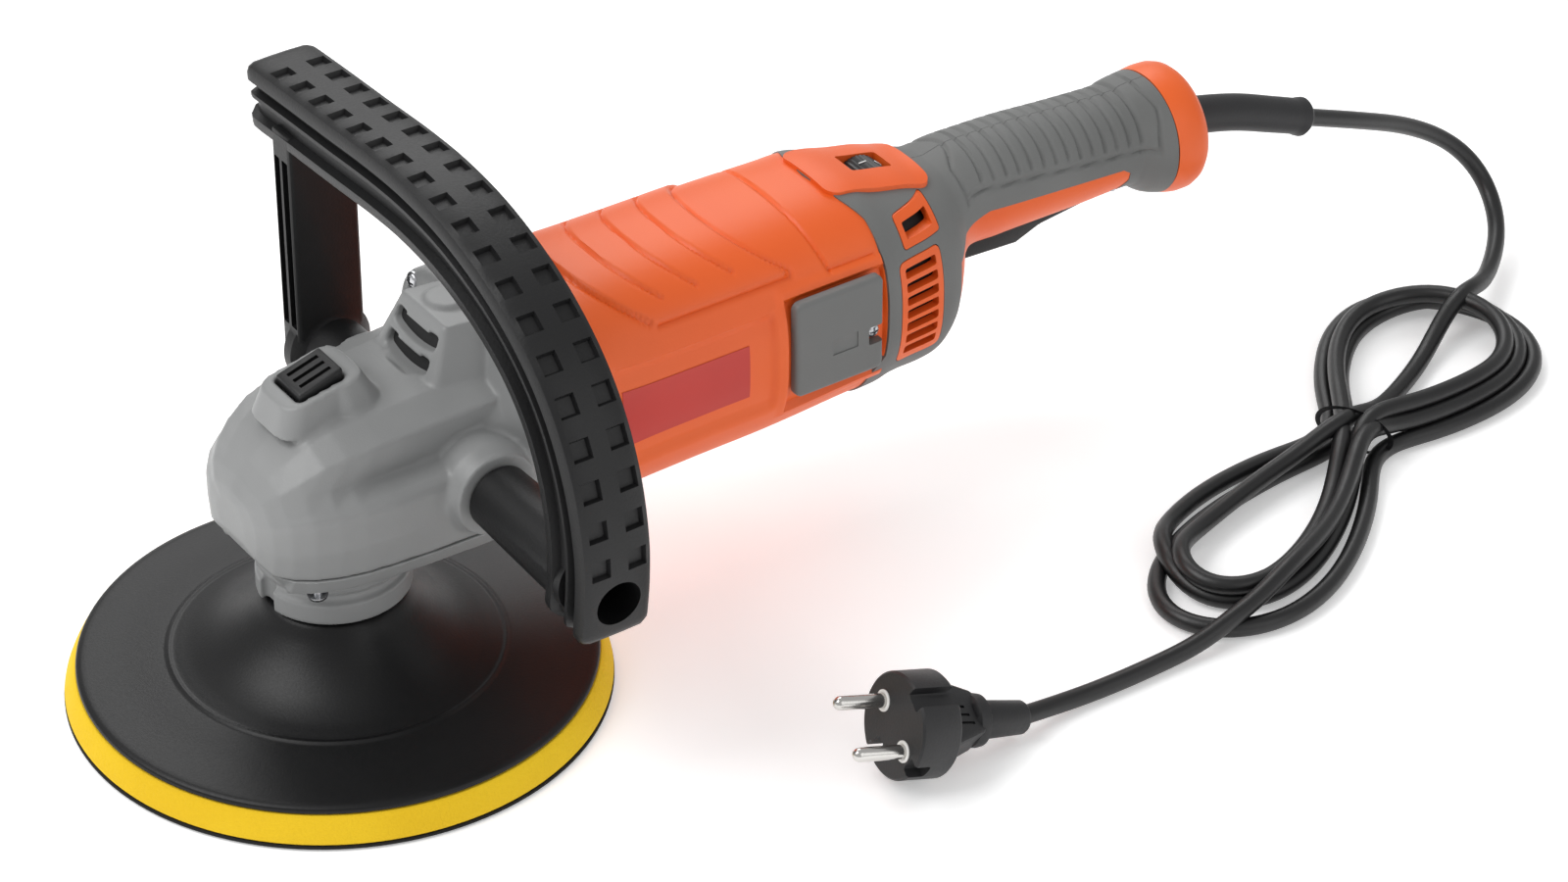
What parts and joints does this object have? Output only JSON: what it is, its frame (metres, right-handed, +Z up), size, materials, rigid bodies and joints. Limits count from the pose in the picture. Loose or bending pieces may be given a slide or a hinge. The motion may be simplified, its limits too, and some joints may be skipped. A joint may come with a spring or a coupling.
{
  "type": "rotary polisher",
  "caption": "Corded rotary polisher with a right-angle gear head, D-handle, 180 mm pad, rear grip with paddle lever, speed dial, and a mains cord coiled beside it.",
  "frame": {"origin": "centre of the polishing pad's underside, on the spindle axis and on the surface the tool stands on", "axes": "+Z up along the spindle, +X from the spindle back along the motor body to the rear grip, -Y to the user's right"},
  "size_m": [0.5811, 0.255, 0.1901],
  "materials": {
    "hook_fabric": "black hook-and-loop fabric",
    "pad_foam": "yellow closed-cell polyurethane foam, fine pores",
    "disc_plastic": "black moulded plastic, satin",
    "bright_steel": "zinc-plated or ground steel",
    "gear_steel": "dark oiled steel",
    "case_casting": "die-cast aluminium, light grey paint",
    "orange_plastic": "orange moulded nylon, satin",
    "grey_plastic": "mid-grey moulded plastic, fine texture",
    "grip_rubber": "mid-grey soft-touch over-moulding on nylon shells",
    "black_plastic": "black moulded plastic",
    "handle_plastic": "black glass-filled nylon, satin",
    "winding_copper": "enamelled copper and brass",
    "carbon": "carbon brush",
    "circuit_board": "potted circuit board",
    "cord_rubber": "black rubber, slightly glossy",
    "plated_pin": "nickel-plated brass"
  },
  "bodies": {
    "tool": {"spindle_bearing_lower": "bright_steel", "spindle_bearing_upper": "bright_steel", "gear_case": "case_casting", "bearing_cover": "case_casting", "cover_screw_1": "bright_steel", "cover_screw_2": "bright_steel", "cover_screw_3": "bright_steel", "cover_screw_4": "bright_steel", "flange_screw_1": "bright_steel", "flange_screw_2": "bright_steel", "flange_screw_3": "bright_steel", "flange_screw_4": "bright_steel", "lock_spring": "bright_steel", "motor_housing": "orange_plastic", "front_bearing": "bright_steel", "rear_bearing": "bright_steel", "stator": "gear_steel", "brush_far": "carbon", "brush_near": "carbon", "brush_holder_far": "winding_copper", "brush_holder_near": "winding_copper", "brush_cover_far": "grey_plastic", "brush_cover_near": "grey_plastic", "brush_cover_screw_far": "bright_steel", "brush_cover_screw_near": "bright_steel", "handle_shell_far": "grip_rubber", "handle_shell_near": "grip_rubber", "vent_grille_far": "orange_plastic", "vent_grille_near": "orange_plastic", "dial_bezel": "orange_plastic", "speed_controller": "circuit_board", "lever_pin": "bright_steel", "switch_body": "black_plastic", "end_cap": "orange_plastic", "strain_relief": "cord_rubber", "cord_clamp": "black_plastic", "d_handle": "handle_plastic", "handle_bolt_near": "bright_steel", "handle_bolt_far": "bright_steel", "cord_lead": "cord_rubber", "cord_tail": "cord_rubber", "cord_hank": "cord_rubber", "cord_tie": "black_plastic", "plug_body": "cord_rubber", "plug_pin_1": "plated_pin", "plug_pin_2": "plated_pin"},
    "spindle": {"spindle": "bright_steel", "crown_gear": "gear_steel", "backing_disc": "disc_plastic", "foam_layer": "pad_foam", "hook_layer": "hook_fabric"},
    "armature": {"armature_shaft": "bright_steel", "armature_core": "winding_copper", "commutator": "winding_copper", "fan": "black_plastic", "pinion": "gear_steel"},
    "spindle_lock": {"lock_button": "black_plastic", "lock_pin": "bright_steel"},
    "speed_dial": {"speed_dial": "black_plastic"},
    "paddle_lever": {"paddle_lever": "black_plastic"}
  },
  "joints": [
    {"name": "spindle_spin", "type": "hinge", "parent": "tool", "child": "spindle", "pos_m": [0, 0, 0.05], "axis": [0, 0, 1], "continuous": true},
    {"name": "armature_spin", "type": "hinge", "parent": "tool", "child": "armature", "pos_m": [0.1, 0, 0.089], "axis": [1, 0, 0], "continuous": true},
    {"name": "lock_press", "type": "slide", "parent": "tool", "child": "spindle_lock", "axis": [0, 0, -1], "range_m": [0, 0.004], "stiffness_N_per_m": 500, "springref_m": -0.002, "deforming": ["lock_spring"]},
    {"name": "dial_turn", "type": "hinge", "parent": "tool", "child": "speed_dial", "pos_m": [0.2085, 0, 0.1166], "axis": [0, 1, 0], "range_deg": [-250, 0]},
    {"name": "lever_press", "type": "hinge", "parent": "tool", "child": "paddle_lever", "pos_m": [0.305, 0, 0.088], "axis": [0, 1, 0], "range_deg": [0, 5], "stiffness_Nm_per_rad": 2, "springref_deg": -5.73}
  ],
  "couplings": [
    {"joint": "armature_spin", "follows": "spindle_spin", "ratio": 4}
  ]
}
